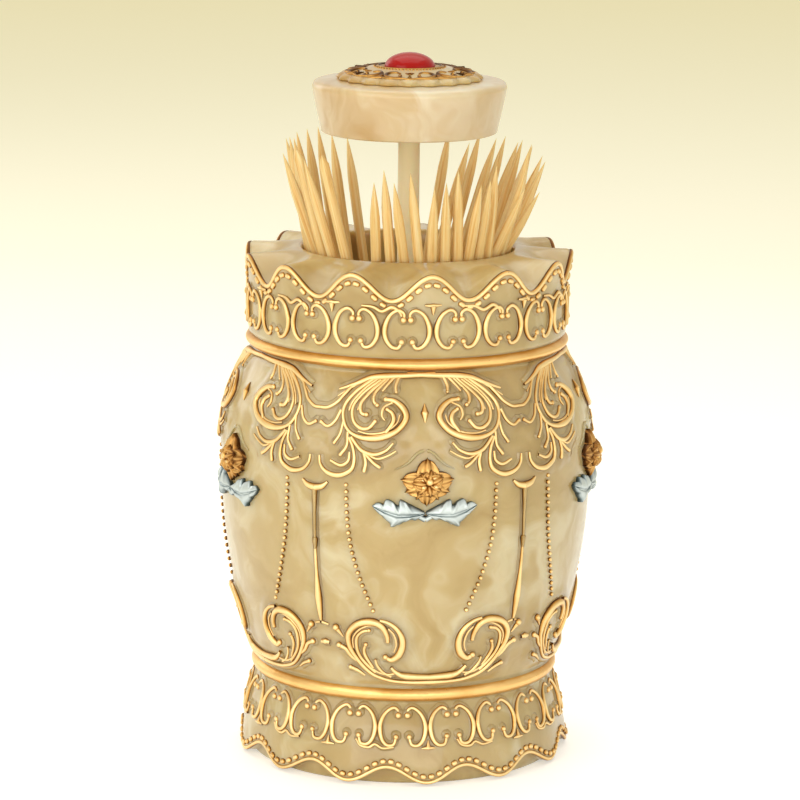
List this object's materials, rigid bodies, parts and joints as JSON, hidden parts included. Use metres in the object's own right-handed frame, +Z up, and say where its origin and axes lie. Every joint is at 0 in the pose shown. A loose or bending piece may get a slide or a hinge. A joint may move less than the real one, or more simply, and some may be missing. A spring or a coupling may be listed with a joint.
{
  "type": "toothpick dispenser",
  "caption": "Tabletop toothpick dispenser: pressing the lid releases a sprung tray that lifts and fans the picks; a ruffled, scroll-carved resin pot holds the mechanism.",
  "frame": {"origin": "centre of the underside, on the table under the axis of the pot", "axes": "+Z up along the rod, -Y towards the front of the pot, +X to its right"},
  "size_m": [0.0785, 0.078, 0.1431],
  "materials": {
    "cast_resin": "pearly translucent cast resin with antique gold brushed on the relief",
    "clear_resin": "glossy clear amber resin",
    "red_gem": "polished red cabochon",
    "cream_plastic": "moulded cream plastic",
    "housing_plastic": "moulded plastic",
    "acetal": "moulded natural acetal",
    "plated_steel": "zinc-plated steel",
    "felt": "brown felt",
    "pick_wood": "raw bamboo, split grain"
  },
  "bodies": {
    "pot": {"pot_body": "cast_resin", "base_pad": "felt", "base_screw_1": "plated_steel", "base_screw_2": "plated_steel", "base_screw_3": "plated_steel", "guide_housing": "housing_plastic", "cam_plate": "acetal", "cam_screw_1": "plated_steel", "cam_screw_2": "plated_steel", "return_spring": "plated_steel"},
    "lift": {"tray": "cream_plastic", "lift_rod": "cream_plastic", "rod_washer": "plated_steel", "rod_screw": "plated_steel", "latch_pin": "plated_steel", "lid": "cast_resin", "lid_rosette": "clear_resin", "gem": "red_gem"},
    "latch": {"latch_arm": "plated_steel"},
    "pick_01": {"toothpick_01": "pick_wood"},
    "pick_02": {"toothpick_02": "pick_wood"},
    "pick_03": {"toothpick_03": "pick_wood"},
    "pick_04": {"toothpick_04": "pick_wood"},
    "pick_05": {"toothpick_05": "pick_wood"},
    "pick_06": {"toothpick_06": "pick_wood"},
    "pick_07": {"toothpick_07": "pick_wood"},
    "pick_08": {"toothpick_08": "pick_wood"},
    "pick_09": {"toothpick_09": "pick_wood"},
    "pick_10": {"toothpick_10": "pick_wood"},
    "pick_11": {"toothpick_11": "pick_wood"},
    "pick_12": {"toothpick_12": "pick_wood"},
    "pick_13": {"toothpick_13": "pick_wood"},
    "pick_14": {"toothpick_14": "pick_wood"},
    "pick_15": {"toothpick_15": "pick_wood"},
    "pick_16": {"toothpick_16": "pick_wood"},
    "pick_17": {"toothpick_17": "pick_wood"},
    "pick_18": {"toothpick_18": "pick_wood"},
    "pick_19": {"toothpick_19": "pick_wood"},
    "pick_20": {"toothpick_20": "pick_wood"},
    "pick_21": {"toothpick_21": "pick_wood"},
    "pick_22": {"toothpick_22": "pick_wood"},
    "pick_23": {"toothpick_23": "pick_wood"},
    "pick_24": {"toothpick_24": "pick_wood"},
    "pick_25": {"toothpick_25": "pick_wood"},
    "pick_26": {"toothpick_26": "pick_wood"},
    "pick_27": {"toothpick_27": "pick_wood"},
    "pick_28": {"toothpick_28": "pick_wood"},
    "pick_29": {"toothpick_29": "pick_wood"},
    "pick_30": {"toothpick_30": "pick_wood"},
    "pick_31": {"toothpick_31": "pick_wood"},
    "pick_32": {"toothpick_32": "pick_wood"},
    "pick_33": {"toothpick_33": "pick_wood"},
    "pick_34": {"toothpick_34": "pick_wood"},
    "pick_35": {"toothpick_35": "pick_wood"},
    "pick_36": {"toothpick_36": "pick_wood"},
    "pick_37": {"toothpick_37": "pick_wood"}
  },
  "joints": [
    {"name": "lid_lift", "type": "slide", "parent": "pot", "child": "lift", "axis": [0, 0, 1], "range_m": [-0.035, 0], "stiffness_N_per_m": 40, "springref_m": 0.04, "deforming": ["return_spring"]},
    {"name": "latch_swing", "type": "hinge", "parent": "lift", "child": "latch", "pos_m": [0, 0.01765, 0.05602], "axis": [0, -1, 0], "range_deg": [0, 20], "stiffness_Nm_per_rad": 0.0005},
    {"name": "pick_01_lean", "type": "hinge", "parent": "lift", "child": "pick_01", "pos_m": [-0.00368, 0.00309, 0.06182], "axis": [0.9138, 0.4061, 0], "range_deg": [0, 20.45]},
    {"name": "pick_02_lean", "type": "hinge", "parent": "lift", "child": "pick_02", "pos_m": [-0.0064, 0.0037, 0.06182], "axis": [0.8717, 0.4901, 0], "range_deg": [0, 17.66]},
    {"name": "pick_03_lean", "type": "hinge", "parent": "lift", "child": "pick_03", "pos_m": [-0.00925, 0.01103, 0.06182], "axis": [0.2738, 0.9618, 0], "range_deg": [0, 8.76]},
    {"name": "pick_04_lean", "type": "hinge", "parent": "lift", "child": "pick_04", "pos_m": [-0.01103, 0.00925, 0.06182], "axis": [0.0936, 0.9956, 0], "range_deg": [0, 8.79]},
    {"name": "pick_05_lean", "type": "hinge", "parent": "lift", "child": "pick_05", "pos_m": [-0.01142, 0.00532, 0.06182], "axis": [0.1697, 0.9855, 0], "range_deg": [0, 10.33]},
    {"name": "pick_06_lean", "type": "hinge", "parent": "lift", "child": "pick_06", "pos_m": [-0.00966, 0.00259, 0.06182], "axis": [0.0572, 0.9984, 0], "range_deg": [0, 13.65]},
    {"name": "pick_07_lean", "type": "hinge", "parent": "lift", "child": "pick_07", "pos_m": [-0.01217, -0.00326, 0.06182], "axis": [0.3434, 0.9392, 0], "range_deg": [0, 11.34]},
    {"name": "pick_08_lean", "type": "hinge", "parent": "lift", "child": "pick_08", "pos_m": [-0.01305, -0.00609, 0.06182], "axis": [0.3111, 0.9504, 0], "range_deg": [0, 9.46]},
    {"name": "pick_09_lean", "type": "hinge", "parent": "lift", "child": "pick_09", "pos_m": [-0.00475, -0.00566, 0.06182], "axis": [-0.1193, 0.9929, 0], "range_deg": [0, 18.5]},
    {"name": "pick_10_lean", "type": "hinge", "parent": "lift", "child": "pick_10", "pos_m": [-0.00643, -0.00766, 0.06182], "axis": [-0.2594, 0.9658, 0], "range_deg": [0, 14.76]},
    {"name": "pick_11_lean", "type": "hinge", "parent": "lift", "child": "pick_11", "pos_m": [-0.00253, -0.00695, 0.06182], "axis": [-0.4595, 0.8882, 0], "range_deg": [0, 18.46]},
    {"name": "pick_12_lean", "type": "hinge", "parent": "lift", "child": "pick_12", "pos_m": [-0.00259, -0.00966, 0.06182], "axis": [-0.5329, 0.8462, 0], "range_deg": [0, 15.4]},
    {"name": "pick_13_lean", "type": "hinge", "parent": "lift", "child": "pick_13", "pos_m": [-0.00473, 0.00083, 0.06182], "axis": [-0.9973, 0.0734, 0], "range_deg": [0, 25.47]},
    {"name": "pick_14_lean", "type": "hinge", "parent": "lift", "child": "pick_14", "pos_m": [-0.00042, -0.00479, 0.06182], "axis": [-0.9797, 0.2006, 0], "range_deg": [0, 20.03]},
    {"name": "pick_15_lean", "type": "hinge", "parent": "lift", "child": "pick_15", "pos_m": [0.00473, -0.00083, 0.06182], "axis": [-0.9623, 0.2722, 0], "range_deg": [0, 25.47]},
    {"name": "pick_16_lean", "type": "hinge", "parent": "lift", "child": "pick_16", "pos_m": [0.00605, -0.00424, 0.06182], "axis": [-0.9696, 0.2445, 0], "range_deg": [0, 21.13]},
    {"name": "pick_17_lean", "type": "hinge", "parent": "lift", "child": "pick_17", "pos_m": [0.00416, 0.0024, 0.06182], "axis": [-0.9995, -0.0315, 0], "range_deg": [0, 27.55]},
    {"name": "pick_18_lean", "type": "hinge", "parent": "lift", "child": "pick_18", "pos_m": [0.00728, 0.00128, 0.06182], "axis": [-1, -0.0051, 0], "range_deg": [0, 25.43]},
    {"name": "pick_19_lean", "type": "hinge", "parent": "lift", "child": "pick_19", "pos_m": [0.00984, -0.00174, 0.06182], "axis": [-1, 0.004, 0], "range_deg": [0, 20.63]},
    {"name": "pick_20_lean", "type": "hinge", "parent": "lift", "child": "pick_20", "pos_m": [0.00605, 0.00424, 0.06182], "axis": [-0.9595, -0.2816, 0], "range_deg": [0, 26.78]},
    {"name": "pick_21_lean", "type": "hinge", "parent": "lift", "child": "pick_21", "pos_m": [0.00866, 0.005, 0.06182], "axis": [-0.9635, -0.2678, 0], "range_deg": [0, 25.58]},
    {"name": "pick_22_lean", "type": "hinge", "parent": "lift", "child": "pick_22", "pos_m": [0.01241, 0.00219, 0.06182], "axis": [-0.9738, -0.2272, 0], "range_deg": [0, 19.61]},
    {"name": "pick_23_lean", "type": "hinge", "parent": "lift", "child": "pick_23", "pos_m": [0, 0.00739, 0.06182], "axis": [-0.7121, -0.7021, 0], "range_deg": [0, 30.44]},
    {"name": "pick_24_lean", "type": "hinge", "parent": "lift", "child": "pick_24", "pos_m": [0.00707, 0.00707, 0.06182], "axis": [-0.7926, -0.6098, 0], "range_deg": [0, 24.07]},
    {"name": "pick_25_lean", "type": "hinge", "parent": "lift", "child": "pick_25", "pos_m": [-0.00342, 0.00939, 0.06182], "axis": [-0.5411, -0.8409, 0], "range_deg": [0, 32.86]},
    {"name": "pick_26_lean", "type": "hinge", "parent": "lift", "child": "pick_26", "pos_m": [0.01142, 0.00532, 0.06182], "axis": [-0.6863, -0.7274, 0], "range_deg": [0, 15.52]},
    {"name": "pick_27_lean", "type": "hinge", "parent": "lift", "child": "pick_27", "pos_m": [0.0024, 0.00416, 0.06182], "axis": [-0.2295, -0.9733, 0], "range_deg": [0, 23.4]},
    {"name": "pick_28_lean", "type": "hinge", "parent": "lift", "child": "pick_28", "pos_m": [0.0037, 0.0064, 0.06182], "axis": [-0.2258, -0.9742, 0], "range_deg": [0, 21.62]},
    {"name": "pick_29_lean", "type": "hinge", "parent": "lift", "child": "pick_29", "pos_m": [0.0081, 0.00965, 0.06182], "axis": [-0.3639, -0.9314, 0], "range_deg": [0, 16.09]},
    {"name": "pick_30_lean", "type": "hinge", "parent": "lift", "child": "pick_30", "pos_m": [0.00422, 0.00906, 0.06182], "axis": [-0.0901, -0.9959, 0], "range_deg": [0, 18.87]},
    {"name": "pick_31_lean", "type": "hinge", "parent": "lift", "child": "pick_31", "pos_m": [0.00532, 0.01142, 0.06182], "axis": [-0.1058, -0.9944, 0], "range_deg": [0, 16.04]},
    {"name": "pick_32_lean", "type": "hinge", "parent": "lift", "child": "pick_32", "pos_m": [0.00174, 0.00984, 0.06182], "axis": [0.175, -0.9846, 0], "range_deg": [0, 18.83]},
    {"name": "pick_33_lean", "type": "hinge", "parent": "lift", "child": "pick_33", "pos_m": [0.00219, 0.01241, 0.06182], "axis": [0.1598, -0.9872, 0], "range_deg": [0, 15.99]},
    {"name": "pick_34_lean", "type": "hinge", "parent": "lift", "child": "pick_34", "pos_m": [-0.00087, 0.00996, 0.06182], "axis": [0.4278, -0.9039, 0], "range_deg": [0, 18.79]},
    {"name": "pick_35_lean", "type": "hinge", "parent": "lift", "child": "pick_35", "pos_m": [0, 0.0144, 0.06182], "axis": [0.3025, -0.9531, 0], "range_deg": [0, 13.78]},
    {"name": "pick_36_lean", "type": "hinge", "parent": "lift", "child": "pick_36", "pos_m": [-0.00475, 0.00566, 0.06182], "axis": [0.7305, -0.6829, 0], "range_deg": [0, 22.98]},
    {"name": "pick_37_lean", "type": "hinge", "parent": "lift", "child": "pick_37", "pos_m": [-0.00219, 0.01241, 0.06182], "axis": [0.7075, -0.7067, 0], "range_deg": [0, 13.39]}
  ],
  "couplings": [
    {"joint": "pick_01_lean", "follows": "lid_lift", "rad_per_m": -10.174},
    {"joint": "pick_02_lean", "follows": "lid_lift", "rad_per_m": -8.7829},
    {"joint": "pick_03_lean", "follows": "lid_lift", "rad_per_m": -4.3417},
    {"joint": "pick_04_lean", "follows": "lid_lift", "rad_per_m": -4.3588},
    {"joint": "pick_05_lean", "follows": "lid_lift", "rad_per_m": -5.1262},
    {"joint": "pick_06_lean", "follows": "lid_lift", "rad_per_m": -6.7809},
    {"joint": "pick_07_lean", "follows": "lid_lift", "rad_per_m": -5.6304},
    {"joint": "pick_08_lean", "follows": "lid_lift", "rad_per_m": -4.692},
    {"joint": "pick_09_lean", "follows": "lid_lift", "rad_per_m": -9.1985},
    {"joint": "pick_10_lean", "follows": "lid_lift", "rad_per_m": -7.3329},
    {"joint": "pick_11_lean", "follows": "lid_lift", "rad_per_m": -9.179},
    {"joint": "pick_12_lean", "follows": "lid_lift", "rad_per_m": -7.6551},
    {"joint": "pick_13_lean", "follows": "lid_lift", "rad_per_m": -12.674},
    {"joint": "pick_14_lean", "follows": "lid_lift", "rad_per_m": -9.9628},
    {"joint": "pick_15_lean", "follows": "lid_lift", "rad_per_m": -12.674},
    {"joint": "pick_16_lean", "follows": "lid_lift", "rad_per_m": -10.513},
    {"joint": "pick_17_lean", "follows": "lid_lift", "rad_per_m": -13.715},
    {"joint": "pick_18_lean", "follows": "lid_lift", "rad_per_m": -12.657},
    {"joint": "pick_19_lean", "follows": "lid_lift", "rad_per_m": -10.26},
    {"joint": "pick_20_lean", "follows": "lid_lift", "rad_per_m": -13.329},
    {"joint": "pick_21_lean", "follows": "lid_lift", "rad_per_m": -12.729},
    {"joint": "pick_22_lean", "follows": "lid_lift", "rad_per_m": -9.7538},
    {"joint": "pick_23_lean", "follows": "lid_lift", "rad_per_m": -15.154},
    {"joint": "pick_24_lean", "follows": "lid_lift", "rad_per_m": -11.98},
    {"joint": "pick_25_lean", "follows": "lid_lift", "rad_per_m": -16.359},
    {"joint": "pick_26_lean", "follows": "lid_lift", "rad_per_m": -7.7141},
    {"joint": "pick_27_lean", "follows": "lid_lift", "rad_per_m": -11.644},
    {"joint": "pick_28_lean", "follows": "lid_lift", "rad_per_m": -10.758},
    {"joint": "pick_29_lean", "follows": "lid_lift", "rad_per_m": -8.0002},
    {"joint": "pick_30_lean", "follows": "lid_lift", "rad_per_m": -9.3866},
    {"joint": "pick_31_lean", "follows": "lid_lift", "rad_per_m": -7.974},
    {"joint": "pick_32_lean", "follows": "lid_lift", "rad_per_m": -9.3666},
    {"joint": "pick_33_lean", "follows": "lid_lift", "rad_per_m": -7.9479},
    {"joint": "pick_34_lean", "follows": "lid_lift", "rad_per_m": -9.3466},
    {"joint": "pick_35_lean", "follows": "lid_lift", "rad_per_m": -6.8471},
    {"joint": "pick_36_lean", "follows": "lid_lift", "rad_per_m": -11.434},
    {"joint": "pick_37_lean", "follows": "lid_lift", "rad_per_m": -6.6521}
  ]
}
